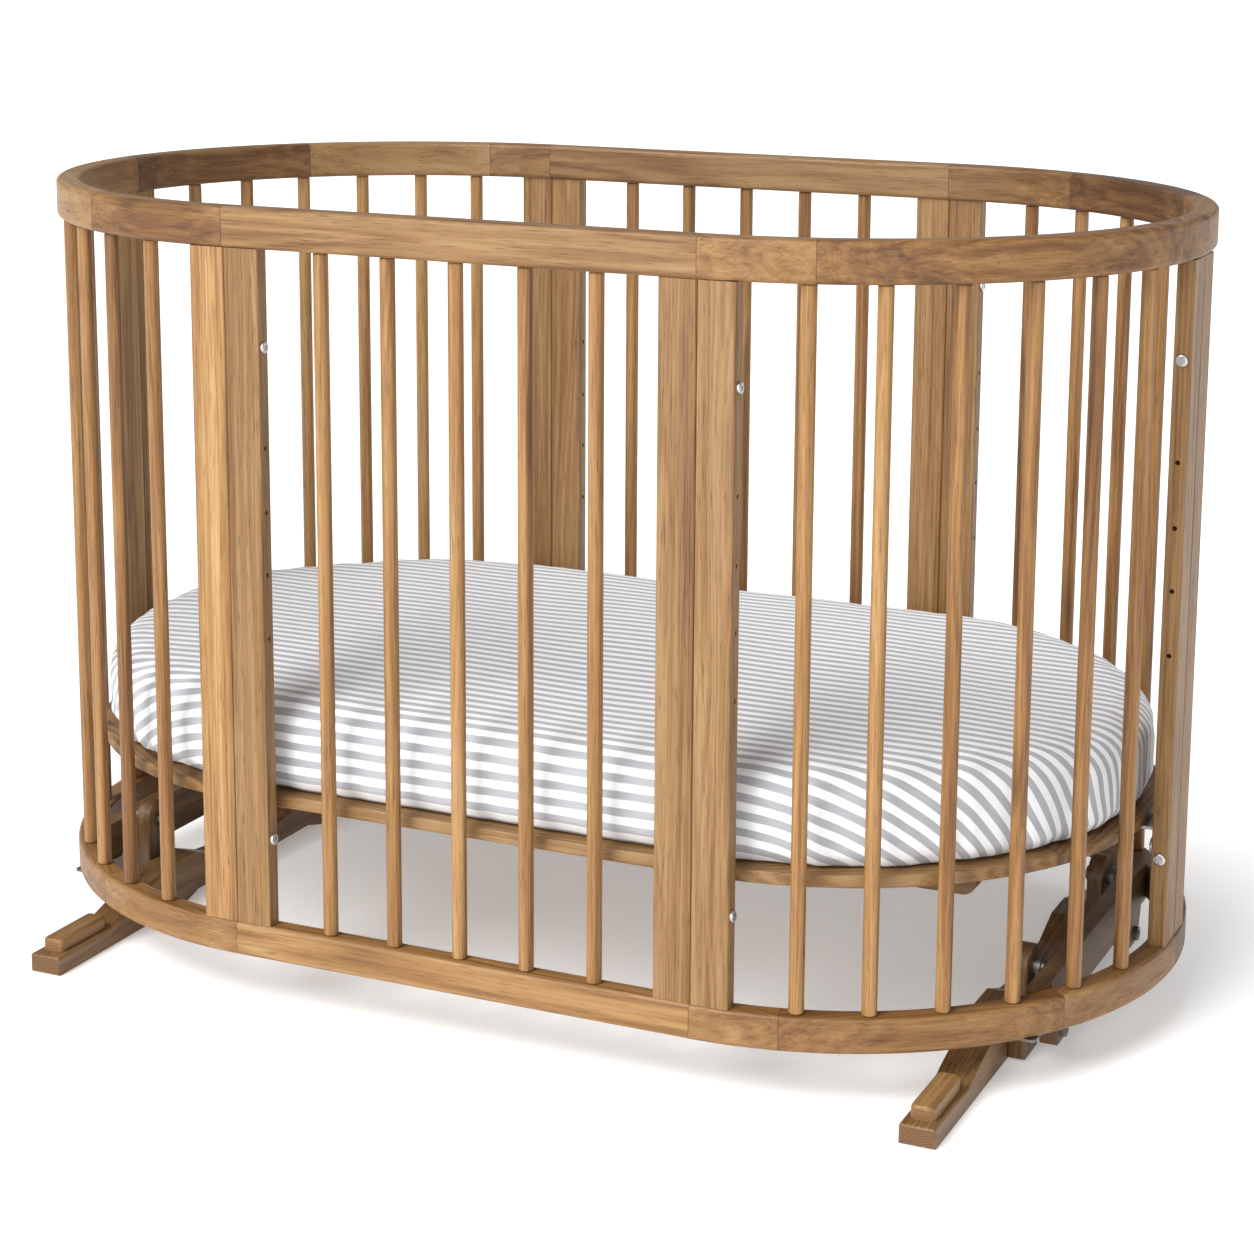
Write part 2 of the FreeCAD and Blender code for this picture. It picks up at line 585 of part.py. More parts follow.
# flat steel plates tie each beam end to the underside of the ring
plate = Part.makeBox(18, 237 - HY - 30, 2.5, V(BX0, -237, Z0 - 2.5))
plate = plate.makeFillet(4, [e for e in plate.Edges if abs(e.Length - 2.5) < 0.01])
feature("beam_plates", four(plate))
scr = []
for y in (-223, -HY - 38):
    s = Part.makeCylinder(2.2, 22, V(BX0 + 9, y, Z0 - 2.5), V(0, 0, 1)).fuse(
        Part.makeCylinder(4.5, 2, V(BX0 + 9, y, Z0 - 4.5), V(0, 0, 1)))
    scr.append(s)
feature("beam_plate_screws", Part.makeCompound([c for s in scr for c in four(s).Solids]))


# turn blocks on the tips of the feet
BLX, BLW, BLH = D["block_len"], D["block_width"], D["block_height"]


def turn_block(sx, sy):
    """Small bar with eased corners; the bolt comes up into it from below."""
    y0 = -(FL - 13)
    b = Part.makeBox(BLW, BLX, BLH, V(-BLW / 2, y0, FT + 0.15))
    b = b.makeFillet(7, [e for e in b.Edges if abs(e.Length - BLH) < 0.01])
    b = b.makeFillet(4.0, [e for e in b.Edges if e.BoundBox.ZMin > FT + BLH - 1])
    b = b.cut(Part.makeCylinder(3.05, 10 + 9.5, V(0, y0 + 22, FT - 10), V(0, 0, 1)))
    b.translate(V(FX, 0, 0))
    return mirrored(b, x=sx < 0, y=sy > 0)


for sx, sy, lab in ((-1, -1, "front_left"), (1, -1, "front_right"), (-1, 1, "back_left"), (1, 1, "back_right")):
    feature("turn_block_" + lab, turn_block(sx, sy))
BY = -(FL - 13) + 22
tb = Part.makeCylinder(3.0, FT + 9.0 - 4.0, V(FX, BY, 4.0), V(0, 0, 1))
tb = tb.fuse(Part.makeCylinder(5.5, 3.0, V(FX, BY, 1.0), V(0, 0, 1))).removeSplitter()
feature("turn_block_bolts", four(tb))

# ------------------------------------------------------------ stepped bores in the feet for the block bolts
doc.recompute()
for lab in ("foot_left", "foot_right"):
    b = [o for n, o in NODES if n == lab][0]
    for r, part, depth in ((3.0, "shank", None), (5.8, "head", "4 + 0 * dims.foot_width")):
        s = sketch_on(b, lab + "_" + part, "XY_Plane", FT if depth is None else 0.0)
        for sy in (-1, 1):
            s.addGeometry(Part.Circle(V(0, sy * -BY, 0), V(0, 0, 1), r), False)
            s.addConstraint(Sketcher.Constraint("Radius", (0 if sy < 0 else 1), r))
        pocket(b, s, depth, lab + "_" + part + "_bores", through=depth is None, reverse=depth is not None)

# ------------------------------------------------------------ check and write
doc.recompute()
bad = []
for o in doc.Objects:
    st = [str(x) for x in o.State]
    if "Invalid" in st or "Error" in st:
        bad.append((o.Name, st))
for name, o in NODES:
    sh = o.Shape
    if sh.isNull() or not sh.isValid() or not sh.Solids:
        bad.append((name, "shape"))
if bad:
    raise SystemExit("failed: %s" % bad)
assert len(NODES) <= 60 and len(set(n for n, _ in NODES)) == len(NODES)
for name, o in NODES:
    o.Shape.exportStep("parts/%s.step" % name)
box = FreeCAD.BoundBox()
for name, o in NODES:
    box.add(o.Shape.BoundBox)
    print("%-30s %2d solids %10.0f mm3" % (name, len(o.Shape.Solids), o.Shape.Volume))
print(len(NODES), "nodes", box)
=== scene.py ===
import bpy, bmesh, math
import numpy as np
from mathutils import Matrix, Vector


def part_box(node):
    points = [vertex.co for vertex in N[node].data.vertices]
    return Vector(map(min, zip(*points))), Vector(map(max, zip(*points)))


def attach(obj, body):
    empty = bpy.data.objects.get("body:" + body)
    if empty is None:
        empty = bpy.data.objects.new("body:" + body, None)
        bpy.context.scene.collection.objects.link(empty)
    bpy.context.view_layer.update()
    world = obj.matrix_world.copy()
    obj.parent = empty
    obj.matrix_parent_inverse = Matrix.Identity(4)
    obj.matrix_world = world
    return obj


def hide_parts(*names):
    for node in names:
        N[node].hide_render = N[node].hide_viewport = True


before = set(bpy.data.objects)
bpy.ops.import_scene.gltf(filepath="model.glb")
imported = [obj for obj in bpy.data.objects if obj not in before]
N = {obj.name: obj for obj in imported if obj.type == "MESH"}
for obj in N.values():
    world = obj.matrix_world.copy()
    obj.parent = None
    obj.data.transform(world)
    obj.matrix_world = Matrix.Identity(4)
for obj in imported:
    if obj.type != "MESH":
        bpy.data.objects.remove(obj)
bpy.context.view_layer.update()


# ------------------------------------------------------------------ node helpers
class G:
    """Small helper that builds one material's node graph."""

    def __init__(self, name):
        self.m = bpy.data.materials.new(name)
        self.m.use_nodes = True
        self.t = self.m.node_tree
        self.t.nodes.clear()
        self.out = self.t.nodes.new("ShaderNodeOutputMaterial")
        self.b = self.t.nodes.new("ShaderNodeBsdfPrincipled")
        self.t.links.new(self.b.outputs[0], self.out.inputs[0])

    def n(self, kind, **kw):
        x = self.t.nodes.new("ShaderNode" + kind)
        for k, v in kw.items():
            setattr(x, k, v)
        return x

    def l(self, a, b):
        self.t.links.new(a, b)

    def put(self, sock, v):
        if isinstance(v, (int, float)):
            sock.default_value = v
        elif isinstance(v, (tuple, list)):
            sock.default_value = v
        else:
            self.l(v, sock)

    def math(self, op, a, b=0.0, c=0.0, clamp=False):
        x = self.n("Math", operation=op)
        x.use_clamp = clamp
        self.put(x.inputs[0], a)
        self.put(x.inputs[1], b)
        self.put(x.inputs[2], c)
        return x.outputs[0]

    def xyz(self, x, y, z):
        c = self.n("CombineXYZ")
        self.put(c.inputs[0], x); self.put(c.inputs[1], y); self.put(c.inputs[2], z)
        return c.outputs[0]

    def noise(self, vec, scale, detail=3.0, rough=0.5, dist=0.0, w=0.0):
        x = self.n("TexNoise", noise_dimensions="4D")
        self.l(vec, x.inputs["Vector"])
        x.inputs["Scale"].default_value = scale
        x.inputs["Detail"].default_value = detail
        x.inputs["Roughness"].default_value = rough
        x.inputs["Distortion"].default_value = dist
        self.put(x.inputs["W"], w)
        return x.outputs["Fac"]

    def ramp(self, fac, stops, interp="LINEAR"):
        r = self.n("ValToRGB")
        r.color_ramp.interpolation = interp
        e = r.color_ramp.elements
        while len(e) < len(stops):
            e.new(0.5)
        for i, (p, c) in enumerate(stops):
            e[i].position = p
            e[i].color = (*c, 1.0) if len(c) == 3 else c
        self.l(fac, r.inputs[0])
        return r.outputs[0]

    def fac(self, v, a, b, lo=0.0, hi=1.0):
        x = self.n("MapRange")
        x.clamp = True
        self.l(v, x.inputs["Value"])
        x.inputs["From Min"].default_value = a
        x.inputs["From Max"].default_value = b
        x.inputs["To Min"].default_value = lo
        x.inputs["To Max"].default_value = hi
        return x.outputs["Result"]

    def mix(self, f, a, b, mode="MIX"):
        x = self.n("Mix", data_type="RGBA", blend_type=mode)
        self.put(x.inputs[0], f)
        self.put(x.inputs[6], a if not isinstance(a, (tuple, list)) else (*a, 1.0))
        self.put(x.inputs[7], b if not isinstance(b, (tuple, list)) else (*b, 1.0))
        return x.outputs[2]

    def bump(self, h, strength, dist, prev=None):
        x = self.n("Bump")
        x.inputs["Strength"].default_value = strength
        x.inputs["Distance"].default_value = dist
        self.l(h, x.inputs["Height"])
        if prev is not None:
            self.l(prev, x.inputs["Normal"])
        return x.outputs[0]


# ------------------------------------------------------------------ wood
TINT = (0.430, 0.380, 0.268)


def wood(name, axis, seed, tone=1.0, warm=0.0, block=None, centre=0.0, off=0.0, contrast=1.0, knots=0.35, rough=0.46, spread=0.0, vc=0.0):
    """Oiled oak.  axis is the grain's direction: x, y, z or arc (laminated blocks round a centre)."""
    g = G(name)
    co = g.n("TexCoord").outputs["Object"]
    s = g.n("SeparateXYZ"); g.l(co, s.inputs[0])
    X, Y, Z = s.outputs
    vary = 0.5
    line = None
    if axis == "arc":
        dx = g.math("SUBTRACT", X, centre)
        th = g.math("ARCTAN2", Y, dx)
        t = g.math("ADD", g.math("DIVIDE", th, block), off)
        idx = g.math("FLOOR", t)
        fr = g.math("FRACT", g.math("ADD", t, 50.0))
        mid = g.math("MULTIPLY", g.math("SUBTRACT", g.math("ADD", idx, 0.5), off), block)
        cs, sn = g.math("COSINE", mid), g.math("SINE", mid)
        u = g.math("SUBTRACT", g.math("MULTIPLY", Y, cs), g.math("MULTIPLY", dx, sn))
        v = g.math("ADD", g.math("MULTIPLY", dx, cs), g.math("MULTIPLY", Y, sn))
        w = Z
        wn = g.n("TexWhiteNoise", noise_dimensions="1D")
        g.put(wn.inputs["W"], g.math("ADD", idx, seed * 3.17))
        vary = wn.outputs["Value"]
        edge = g.math("MINIMUM", fr, g.math("SUBTRACT", 1.0, fr))
        line = g.math("LESS_THAN", edge, 0.0005 / (0.36 * block))
        W = g.math("ADD", g.math("MULTIPLY", idx, 7.3), seed)
    else:
        u, v, w = {"x": (X, Y, Z), "y": (Y, X, Z), "z": (Z, X, Y)}[axis]
        W = float(seed)
        if spread:
            # separate sticks of one group get their own tone from where they stand
            sp = g.noise(g.xyz(v if axis != "y" else v, w if axis == "z" else 0.0, 0.0), 11.0, 0.0, 0.5, 0.0, seed * 1.7)
            vary = g.fac(sp, 0.3, 0.7)
            W = g.math("ADD", g.math("MULTIPLY", sp, 25.0), seed)
    # broad figure, growth bands, fibre, pores
    pv = g.xyz(g.math("MULTIPLY", u, 1.3), g.math("MULTIPLY", v, 13.0), g.math("MULTIPLY", w, 13.0))
    broad = g.noise(pv, 1.0, 2.0, 0.5, 0.6, W)
    pb = g.xyz(g.math("MULTIPLY", u, 2.6), g.math("MULTIPLY", v, 85.0), g.math("MULTIPLY", w, 85.0))
    band = g.noise(pb, 1.0, 5.0, 0.66, 0.45, W)
    ring = g.math("SINE", g.math("MULTIPLY", g.math("ADD", g.math("MULTIPLY", broad, 1.6), g.math("MULTIPLY", v, 16.0)), 46.0))
    ring = g.math("MULTIPLY", g.math("ADD", ring, 1.0), 0.5)
    pf = g.xyz(g.math("MULTIPLY", u, 16.0), g.math("MULTIPLY", v, 520.0), g.math("MULTIPLY", w, 520.0))
    fib = g.noise(pf, 1.0, 3.0, 0.6, 0.15, W)
    pp = g.xyz(g.math("MULTIPLY", u, 42.0), g.math("MULTIPLY", v, 950.0), g.math("MULTIPLY", w, 950.0))
    pore = g.fac(g.noise(pp, 1.0, 1.0, 0.5, 0.0, W), 0.60, 0.70)
    f = g.math("ADD", g.math("MULTIPLY", band, 0.62), g.math("MULTIPLY", ring, 0.13 * contrast))
    f = g.math("ADD", f, g.math("MULTIPLY", broad, 0.30))
    f = g.math("ADD", f, g.math("MULTIPLY", fib, 0.24))
    f = g.math("ADD", f, g.math("MULTIPLY", g.math("SUBTRACT", vary, 0.5), 0.20 if axis == "arc" else 0.14))
    f = g.math("ADD", g.math("MULTIPLY", g.math("SUBTRACT", f, 0.60), 1.62), 0.60)
    T = tone

    def c(r, gg, b):
        return (min(r * TINT[0] * T * (1 + warm), 1), min(gg * TINT[1] * T, 1), min(b * TINT[2] * T * (1 - warm), 1))
    col = g.ramp(f, [(0.30, c(0.145, 0.062, 0.020)), (0.48, c(0.300, 0.150, 0.058)), (0.62, c(0.425, 0.235, 0.100)),
                     (0.76, c(0.530, 0.320, 0.155)), (0.92, c(0.640, 0.430, 0.245))])
    col = g.mix(g.math("MULTIPLY", pore, 0.50), col, c(0.13, 0.060, 0.022))
    # a few knots
    vo = g.n("TexVoronoi", feature="F1")
    g.l(g.xyz(g.math("MULTIPLY", u, 2.4), g.math("ADD", g.math("MULTIPLY", v, 11.0), seed * 0.37), g.math("ADD", g.math("MULTIPLY", w, 11.0), seed * 0.71)), vo.inputs["Vector"])
    vo.inputs["Scale"].default_value = 1.0
    vo.inputs["Randomness"].default_value = 1.0
    kd = g.fac(g.math("ADD", vo.outputs["Distance"], g.math("MULTIPLY", fib, 0.05)), 0.03, 0.16, 1.0, 0.0)
    kd = g.math("MULTIPLY", kd, knots)
    col = g.mix(kd, col, c(0.085, 0.035, 0.012))
    if line is not None:
        col = g.mix(g.math("MULTIPLY", line, 0.65), col, (0.05, 0.022, 0.010))
    # end grain: rings and a darker, thirstier surface where the face looks along the grain
    geo = g.n("NewGeometry")
    sn_ = g.n("SeparateXYZ"); g.l(geo.outputs["Normal"], sn_.inputs[0])
    if axis in "xyz":
        nn = g.math("ABSOLUTE", sn_.outputs["xyz".index(axis)])
        eg = g.fac(nn, 0.80, 0.93)
        d = g.n("VectorMath", operation="LENGTH")
        g.l(g.xyz(0.0, g.math("SUBTRACT", v, vc + round(math.sin(seed) * 0.015, 4)), g.math("ADD", w, 0.016)), d.inputs[0])
        er = g.math("SINE", g.math("MULTIPLY", g.math("ADD", d.outputs["Value"], g.math("MULTIPLY", band, 0.004)), 2600.0))
        ecol = g.mix(g.fac(er, -0.6, 0.9), c(0.27, 0.135, 0.058), c(0.48, 0.27, 0.13))
        col = g.mix(eg, col, ecol)
    g.l(col, g.b.inputs["Base Color"])
    r = g.math("ADD", g.math("MULTIPLY", band, 0.16), g.math("MULTIPLY", pore, 0.22))
    g.l(g.math("ADD", r, rough - 0.08), g.b.inputs["Roughness"])
    g.b.inputs["Specular IOR Level"].default_value = 0.42
    h = g.math("SUBTRACT", g.math("MULTIPLY", fib, 0.5), g.math("MULTIPLY", pore, 0.9))
    h = g.math("ADD", h, g.math("MULTIPLY", band, 0.5))
    if line is not None:
        h = g.math("SUBTRACT", h, g.math("MULTIPLY", line, 2.0))
    g.l(g.bump(h, 0.42, 0.00035), g.b.inputs["Normal"])
    return g.m


def metal(name, base, rough, scale=900.0, aniso=0.0, seed=0.0):
    g = G(name)
    co = g.n("TexCoord").outputs["Object"]
    a = g.noise(co, scale, 4.0, 0.6, 0.0, seed)
    b = g.noise(co, 60.0, 2.0, 0.5, 0.0, seed + 3)
    g.l(g.mix(g.fac(b, 0.35, 0.7), tuple(x * 0.80 for x in base), base), g.b.inputs["Base Color"])
    g.b.inputs["Metallic"].default_value = 1.0
    g.l(g.math("ADD", g.math("MULTIPLY", a, 0.16), g.math("ADD", g.math("MULTIPLY", b, 0.12), rough - 0.12)), g.b.inputs["Roughness"])
    g.l(g.bump(a, 0.10, 0.0001), g.b.inputs["Normal"])
    return g.m


def give(node, mat):
    o = N[node]
    for i in range(max(len(o.material_slots), 1)):
        if o.material_slots:
            o.material_slots[i].material = mat
        else:
            o.data.materials.append(mat)


RAD = math.radians
steel = metal("zinc_bright", (0.64, 0.64, 0.65), 0.28, seed=1.0)
plate = metal("zinc_plate", (0.55, 0.55, 0.56), 0.40, seed=4.0)
for n in N:
    if "bolts" in n or "nuts" in n or "pins" in n or "washers" in n or "screws" in n:
        give(n, steel)
give("base_brackets", plate)
dark = metal("swing_steel", (0.20, 0.19, 0.18), 0.48, seed=7.0)
for n in ("beam_plates", "beam_plate_screws", "swing_links_front", "swing_links_back", "hanger_pins", "hanger_nuts",
          "hanger_washers", "beam_pins", "beam_nuts", "beam_washers", "turn_block_bolts"):
    give(n, dark)

# ring: every rail is its own board, every arc its own set of glued blocks
k = 0
ARC = {  # node part: (block angle, offset, tone, warm)
    "front_right_arc_top_rail": (62, 0.18, 1.20, 0.00), "front_left_arc_top_rail": (33, 0.62, 1.14, -0.01),
    "back_right_arc_top_rail": (38, 0.30, 0.93, 0.00), "back_left_arc_top_rail": (36, 0.15, 0.96, 0.01),
    "front_right_arc_bottom_rail": (44, 0.74, 1.12, 0.01), "front_left_arc_bottom_rail": (35, 0.50, 1.12, 0.00),
    "back_right_arc_bottom_rail": (36, 0.40, 0.90, 0.00), "back_left_arc_bottom_rail": (34, 0.10, 0.90, 0.00),
}
for n, (blk, off, tone, warm) in ARC.items():
    k += 1
    give(n, wood("oak_" + n, "arc", 3.1 * k + 1, tone, warm, block=RAD(blk), centre=0.25 if "right" in n else -0.25, off=off, contrast=0.35))
for n, tone, warm in (("front_panel_top_rail", 1.01, 0.0), ("back_panel_top_rail", 0.86, 0.01),
                      ("front_panel_bottom_rail", 1.28, -0.01), ("back_panel_bottom_rail", 1.0, 0.0)):
    k += 1
    give(n, wood("oak_" + n, "x", 5.7 * k, tone, warm))
for n, tone, warm in (("front_panel_posts", 0.96, 0.01), ("back_panel_posts", 1.10, 0.0), ("front_left_arc_posts", 1.62, -0.05),
                      ("front_right_arc_posts", 1.03, -0.01), ("back_left_arc_posts", 1.06, -0.02), ("back_right_arc_posts", 1.05, 0.0)):
    k += 1
    give(n, wood("oak_" + n, "z", 4.3 * k, tone, warm, spread=0.4, contrast=0.8, knots=0.25))
for n in [x for x in N if x.endswith("spindles")]:
    k += 1
    give(n, wood("oak_" + n, "z", 2.9 * k, 1.42, 0.0, spread=1.0, contrast=0.6, knots=0.5, rough=0.42))
for n in ("base_rim_front", "base_rim_back"):
    k += 1
    give(n, wood("oak_" + n, "x", 3.3 * k, 1.02))
for n in ("base_rim_left", "base_rim_right"):
    k += 1
    give(n, wood("oak_" + n, "arc", 3.3 * k, 1.02, block=RAD(60), centre=0.25 if "right" in n else -0.25, off=0.5))
give("base_slats", wood("slat_birch", "y", 61.0, 2.1, -0.06, spread=1.0, contrast=0.5, knots=0.3))
give("base_bearers", wood("oak_bearers", "x", 67.0, 0.62))
give("foot_left", wood("oak_foot_l", "y", 71.0, 0.76, 0.0, vc=-0.482))
give("foot_right", wood("oak_foot_r", "y", 77.0, 0.78, 0.0, vc=0.482))
give("foot_hangers", wood("oak_hangers", "z", 83.0, 0.60))
give("swing_beam_left", wood("oak_beam_l", "y", 87.0, 0.60))
give("swing_beam_right", wood("oak_beam_r", "y", 91.0, 0.60))
for i, n in enumerate([x for x in N if x.startswith("turn_block_") and "bolts" not in x]):
    give(n, wood("oak_" + n, "y", 95.0 + 4 * i, 1.22, -0.04, knots=0.0, contrast=0.5, vc=-0.482 if "left" in n else 0.482))

# ------------------------------------------------------------------ mattress in its fitted sheet
lo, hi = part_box("mattress")
HALF = 0.25
MZ0, MZ1 = lo[2], hi[2]
MR = hi[1]


def outline(t):
    """Point and outward normal on the unit oval's spine for t in 0..1."""
    L1, L2 = 2 * HALF, math.pi * MR
    total = 2 * L1 + 2 * L2
    d = (t % 1.0) * total
    if d < L1:
        return (-HALF + d, 0.0), (0.0, -1.0)
    d -= L1
    if d < L2:
        a = -math.pi / 2 + d / MR
        return (HALF, 0.0), (math.cos(a), math.sin(a))
    d -= L2
    if d < L1:
        return (HALF - d, 0.0), (0.0, 1.0)
    d -= L1
    a = math.pi / 2 + d / MR
    return (-HALF, 0.0), (math.cos(a), math.sin(a))


def mattress_start(shrink):
    nu = 300
    r_out = MR - shrink
    z0, z1 = MZ0 + 0.001, MZ1 - shrink * 0.6
    rt, rb = 0.026, 0.014
    prof = []
    for i in range(9):
        prof.append(((r_out - rt) * (i / 9.0), z1))
    for i in range(8):
        a = math.pi / 2 * i / 7.0
        prof.append((r_out - rt + rt * math.sin(a), z1 - rt + rt * math.cos(a)))
    for i in range(1, 5):
        prof.append((r_out, z1 - rt + (z0 + rb - z1 + rt) * i / 5.0))
    for i in range(6):
        a = math.pi / 2 * i / 5.0
        prof.append((r_out - rb + rb * math.cos(a), z0 + rb - rb * math.sin(a)))
    for i in range(1, 6):
        prof.append(((r_out - rb) * (1 - i / 6.0), z0))
    bm = bmesh.new()
    rows = []
    for r, z in prof:
        row = []
        for j in range(nu):
            p, n = outline(j / nu)
            row.append(bm.verts.new((p[0] + n[0] * r, p[1] + n[1] * r, z)))
        rows.append(row)
    for a, b in zip(rows, rows[1:]):
        for j in range(nu):
            bm.faces.new((a[j], a[(j + 1) % nu], b[(j + 1) % nu], b[j]))
    bmesh.ops.remove_doubles(bm, verts=bm.verts, dist=1e-5)
    bmesh.ops.holes_fill(bm, edges=bm.edges, sides=0)
    bmesh.ops.recalc_face_normals(bm, faces=bm.faces)
    me = bpy.data.meshes.new("mattress_sheet")
    bm.to_mesh(me); bm.free()
    o = bpy.data.objects.new("mattress_sheet", me)
    bpy.context.scene.collection.objects.link(o)
    return o


def verts(o):
    a = np.empty(len(o.data.vertices) * 3, np.float64)
    o.data.vertices.foreach_get("co", a)
    return a.reshape(-1, 3)


def set_verts(o, a):
    o.data.vertices.foreach_set("co", a.astype(np.float32).ravel())
    o.data.update()


def apply_mod(o, m):
    with bpy.context.temp_override(object=o, active_object=o, selected_objects=[o]):
        bpy.ops.object.modifier_apply(modifier=m.name)


SHRINK = 0.001
mat = mattress_start(SHRINK)
bpy.context.view_layer.objects.active = mat
m = mat.modifiers.new("remesh", "REMESH")
m.mode = "VOXEL"
m.voxel_size = 0.0068
apply_mod(mat, m)
start = verts(mat)
c = mat.modifiers.new("cloth", "CLOTH")
c.settings.quality = 4
c.settings.mass = 0.3
c.settings.use_pressure = True
c.settings.uniform_pressure_force = 4.0
c.settings.effector_weights.gravity = 0.0
c.settings.tension_stiffness = 25
c.settings.compression_stiffness = 25
c.settings.bending_stiffness = 0.8
sc = bpy.context.scene
sc.frame_start, sc.frame_end = 1, 20
c.point_cache.frame_start, c.point_cache.frame_end = 1, 20
for f in range(1, 21):
    sc.frame_set(f)
dg = bpy.context.evaluated_depsgraph_get()
ev = mat.evaluated_get(dg)
mm = ev.to_mesh()
a = np.empty(len(mm.vertices) * 3)
mm.vertices.foreach_get("co", a)
ev.to_mesh_clear()
simmed = a.reshape(-1, 3)
mat.modifiers.remove(c)
sc.frame_set(1)
move = simmed - start
ln = np.linalg.norm(move, axis=1)
cap = 0.006
move *= (np.minimum(ln, cap) / np.maximum(ln, 1e-9))[:, None]
P = start + move

# the sheet's own shape: gathers along the tucked edge, a soft hand on top
sx = np.clip(P[:, 0], -HALF, HALF)
dx, dy = P[:, 0] - sx, P[:, 1]
r = np.hypot(dx, dy)
nx, ny = dx / np.maximum(r, 1e-6), dy / np.maximum(r, 1e-6)
ang = np.arctan2(ny, nx)
along = sx + np.where(P[:, 0] > HALF, (ang + math.pi / 2) * MR, 0) + np.where(P[:, 0] < -HALF, -(math.pi / 2 - np.abs(ang)) * MR * np.sign(ang) * 0, 0)
arc = np.abs(P[:, 0]) > HALF
s_arc = np.where(arc, ang * MR, P[:, 0])
side = np.clip((r - (MR - 0.030)) / 0.018, 0, 1)
hgt = (P[:, 2] - MZ0) / (MZ1 - MZ0)


def wob(x, f, ph):
    return np.sin(x * f + ph + 1.7 * np.sin(x * f * 0.37 + ph * 1.3) + 0.9 * np.sin(x * f * 0.71 - ph))


amp_arc = np.clip(1.05 - hgt * 1.15, 0, 1) ** 1.4 * side
pleat = wob(s_arc, 120.0, 0.4) * 0.0024 + wob(s_arc, 210.0, 2.0) * 0.0010
pleat = np.where(arc, pleat, pleat * 0.45)
soft = (np.sin(P[:, 0] * 9 + 1.0) * np.sin(P[:, 1] * 11 + 0.5) * 0.0018
        + np.sin(P[:, 0] * 23 + P[:, 1] * 17) * 0.0007)
top = np.clip((hgt - 0.7) / 0.25, 0, 1)
crown = 0.0055 * np.clip(1 - (r / MR) ** 2, 0, 1)
diag = wob(s_arc * 0.6 + P[:, 2] * 0.9, 95.0, 1.1) * 0.0011 * side * np.clip(hgt * 1.6, 0, 1) * np.clip(1.35 - hgt, 0, 1)
push = (pleat * amp_arc + diag)
P[:, 0] += nx * push
P[:, 1] += ny * push
P[:, 2] += (soft + crown) * top
P[:, 2] = np.maximum(P[:, 2], MZ0 - 0.0003)
# the sheet's elastic hem: a shallow groove that pulls the lower edge in
hem = np.exp(-((P[:, 2] - (MZ0 + 0.0085)) / 0.004) ** 2) * side
P[:, 0] -= nx * 0.0028 * hem
P[:, 1] -= ny * 0.0028 * hem
set_verts(mat, P)
# woven stripes follow the cloth: flat pattern coordinates in metres, taken before it is puffed up
sx = np.clip(start[:, 0], -HALF, HALF)
dx, dy = start[:, 0] - sx, start[:, 1]
r = np.hypot(dx, dy)
nx, ny = dx / np.maximum(r, 1e-6), dy / np.maximum(r, 1e-6)
RT = 0.026
zc = MZ1 - SHRINK * 0.6 - RT
rc = MR - SHRINK - RT
phi = np.arctan2(np.maximum(r - rc, 0), np.maximum(start[:, 2] - zc, 1e-9))
s = np.where(start[:, 2] > zc, np.where(r < rc, r, rc + RT * phi), rc + RT * math.pi / 2 + (zc - start[:, 2]))
s = np.where((start[:, 2] < MZ0 + 0.004) & (r < rc), r, s)
FU = sx + nx * s
FV = ny * s
uv = mat.data.uv_layers.new(name="cloth")
li = np.empty(len(mat.data.loops), np.int64)
mat.data.loops.foreach_get("vertex_index", li)
uv.data.foreach_set("uv", np.stack([FU[li], FV[li]], 1).astype(np.float32).ravel())
for p in mat.data.polygons:
    p.use_smooth = True
sd = mat.modifiers.new("sub", "SUBSURF")
sd.levels = sd.render_levels = 1
apply_mod(mat, sd)

g = G("sheet_striped_cotton")
uvn = g.n("UVMap"); uvn.uv_map = "cloth"
ss = g.n("SeparateXYZ"); g.l(uvn.outputs[0], ss.inputs[0])
U_, V_ = ss.outputs[0], ss.outputs[1]
co = g.n("TexCoord").outputs["Object"]
wig = g.noise(co, 6.0, 2.0, 0.5)
vv = g.math("ADD", V_, g.math("MULTIPLY", g.math("SUBTRACT", wig, 0.5), 0.0022))
fr = g.math("FRACT", g.math("ADD", g.math("DIVIDE", vv, 0.0168), 100.25))
tri = g.math("ABSOLUTE", g.math("SUBTRACT", fr, 0.5))
stripe = g.fac(tri, 0.232, 0.262, 1.0, 0.0)
warp = g.math("SINE", g.math("MULTIPLY", U_, 2 * math.pi / 0.00062))
weft = g.math("SINE", g.math("MULTIPLY", V_, 2 * math.pi / 0.00062))
weave = g.math("MULTIPLY", warp, weft)
slub = g.noise(g.xyz(g.math("MULTIPLY", U_, 40.0), g.math("MULTIPLY", V_, 900.0), 0.0), 1.0, 2.0)
white = g.mix(g.fac(slub, 0.3, 0.7), (0.80, 0.805, 0.825), (0.87, 0.873, 0.885))
grey = g.mix(g.fac(slub, 0.3, 0.7), (0.355, 0.360, 0.385), (0.425, 0.430, 0.455))
colr = g.mix(stripe, white, grey)
colr = g.mix(g.fac(weave, -1.0, 1.0, 0.0, 0.10), colr, (0.30, 0.30, 0.32))
g.l(colr, g.b.inputs["Base Color"])
g.l(g.fac(slub, 0.2, 0.8, 0.82, 0.94), g.b.inputs["Roughness"])
g.b.inputs["Sheen Weight"].default_value = 0.25
g.b.inputs["Sheen Roughness"].default_value = 0.5
g.b.inputs["Specular IOR Level"].default_value = 0.2
crease = g.noise(co, 38.0, 4.0, 0.55, 0.8)
b1 = g.bump(crease, 0.30, 0.0016)
b2 = g.bump(g.math("ADD", weave, g.math("MULTIPLY", slub, 1.5)), 0.25, 0.00012, b1)
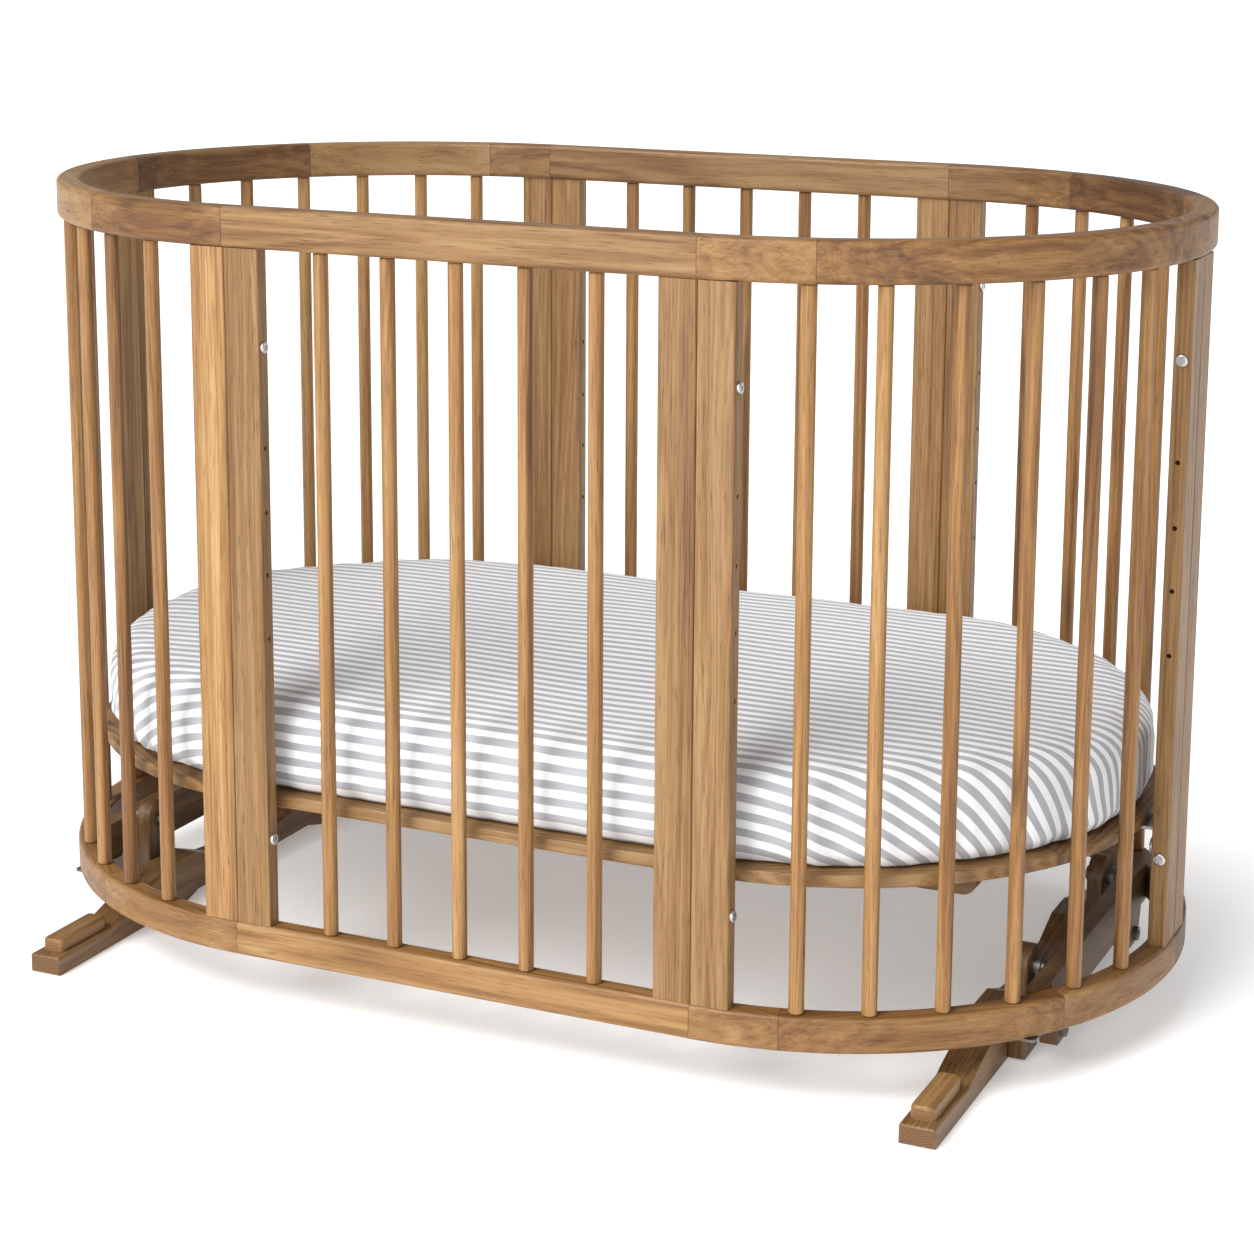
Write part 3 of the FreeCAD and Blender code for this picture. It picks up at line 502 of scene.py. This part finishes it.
g.l(b2, g.b.inputs["Normal"])
mat.data.materials.clear()
mat.data.materials.append(g.m)
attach(mat, "base")
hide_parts("mattress")

# ------------------------------------------------------------------ floor
bpy.ops.mesh.primitive_plane_add(size=60, location=(0, 0, -0.0004))
floor = bpy.context.object
floor.name = "floor"
g = G("pale_floor_painted_glow")
nf = g.noise(g.n("TexCoord").outputs["Object"], 3.0, 2.0)
g.l(g.mix(g.fac(nf, 0.3, 0.7), (0.90, 0.90, 0.90), (0.92, 0.92, 0.92)), g.b.inputs["Base Color"])
g.b.inputs["Roughness"].default_value = 0.9
g.b.inputs["Specular IOR Level"].default_value = 0.1
# painted light: the floor glows with a faint white emission that lifts the shadows under the crib and lights its
# undersides from below
g.b.inputs["Emission Color"].default_value = (1.0, 1.0, 1.0, 1.0)
g.b.inputs["Emission Strength"].default_value = 0.24
floor.data.materials.append(g.m)


# ------------------------------------------------------------------ light
def area(name, loc, target, size, power, col=(1, 1, 1)):
    d = bpy.data.lights.new(name, "AREA")
    d.shape = "DISK"
    d.size = size
    d.energy = power
    d.color = col
    o = bpy.data.objects.new(name, d)
    bpy.context.scene.collection.objects.link(o)
    o.location = loc
    o.rotation_euler = (Vector(target) - Vector(loc)).to_track_quat("-Z", "Y").to_euler()
    return o


def sun(name, az, el, strength, angle):
    d = bpy.data.lights.new(name, "SUN")
    d.energy = strength
    d.angle = RAD(angle)
    o = bpy.data.objects.new(name, d)
    bpy.context.scene.collection.objects.link(o)
    v = Vector((math.sin(RAD(az)) * math.cos(RAD(el)), -math.cos(RAD(az)) * math.cos(RAD(el)), math.sin(RAD(el))))
    o.rotation_euler = (-v).to_track_quat("-Z", "Y").to_euler()
    return o


# one very large soft box from the front left, a small one from the front right
sun("key", -22.0, 46.0, 3.1, 38.0)
area("front", (-0.9, -4.2, 1.3), (0.0, 0.0, 0.40), 2.2, 62)
area("fill", (2.6, -3.6, 1.5), (0.3, 0.0, 0.35), 2.2, 34)
w = bpy.data.worlds.new("studio")
bpy.context.scene.world = w
w.use_nodes = True
w.node_tree.nodes["Background"].inputs[0].default_value = (1.0, 1.0, 1.0, 1)
w.node_tree.nodes["Background"].inputs[1].default_value = 0.52
# the sweep behind the crib is plain white to the eye
lp = w.node_tree.nodes.new("ShaderNodeLightPath")
wh = w.node_tree.nodes.new("ShaderNodeBackground")
wh.inputs[1].default_value = 1.1
mx = w.node_tree.nodes.new("ShaderNodeMixShader")
w.node_tree.links.new(lp.outputs["Is Camera Ray"], mx.inputs[0])
w.node_tree.links.new(w.node_tree.nodes["Background"].outputs[0], mx.inputs[1])
w.node_tree.links.new(wh.outputs[0], mx.inputs[2])
w.node_tree.links.new(mx.outputs[0], w.node_tree.nodes["World Output"].inputs[0])

# ------------------------------------------------------------------ camera
AZ, EL, ROLL, F_PX = 24.442, 11.238, 0.327, 2773.0
CAM = Vector((1.2136, -2.6421, 1.0693 + 0.0565))
a, e, ro = RAD(AZ), RAD(EL), RAD(ROLL)
back = Vector((math.sin(a) * math.cos(e), -math.cos(a) * math.cos(e), math.sin(e)))
right = (-back).cross(Vector((0, 0, 1))).normalized()
up = right.cross(-back)
R2 = math.cos(ro) * right + math.sin(ro) * up
U2 = -math.sin(ro) * right + math.cos(ro) * up
cd = bpy.data.cameras.new("cam")
cam = bpy.data.objects.new("cam", cd)
bpy.context.scene.collection.objects.link(cam)
cam.matrix_world = Matrix(((R2.x, U2.x, back.x, CAM.x), (R2.y, U2.y, back.y, CAM.y), (R2.z, U2.z, back.z, CAM.z), (0, 0, 0, 1)))
cd.sensor_width = 36.0
cd.lens = F_PX * 36.0 / 1254.0
cd.shift_x = 0.0
cd.shift_y = -0.15
cd.dof.use_dof = False
cd.clip_end = 100.0
bpy.context.scene.camera = cam
bpy.context.scene.view_settings.view_transform = "Standard"
bpy.context.scene.view_settings.look = "None"
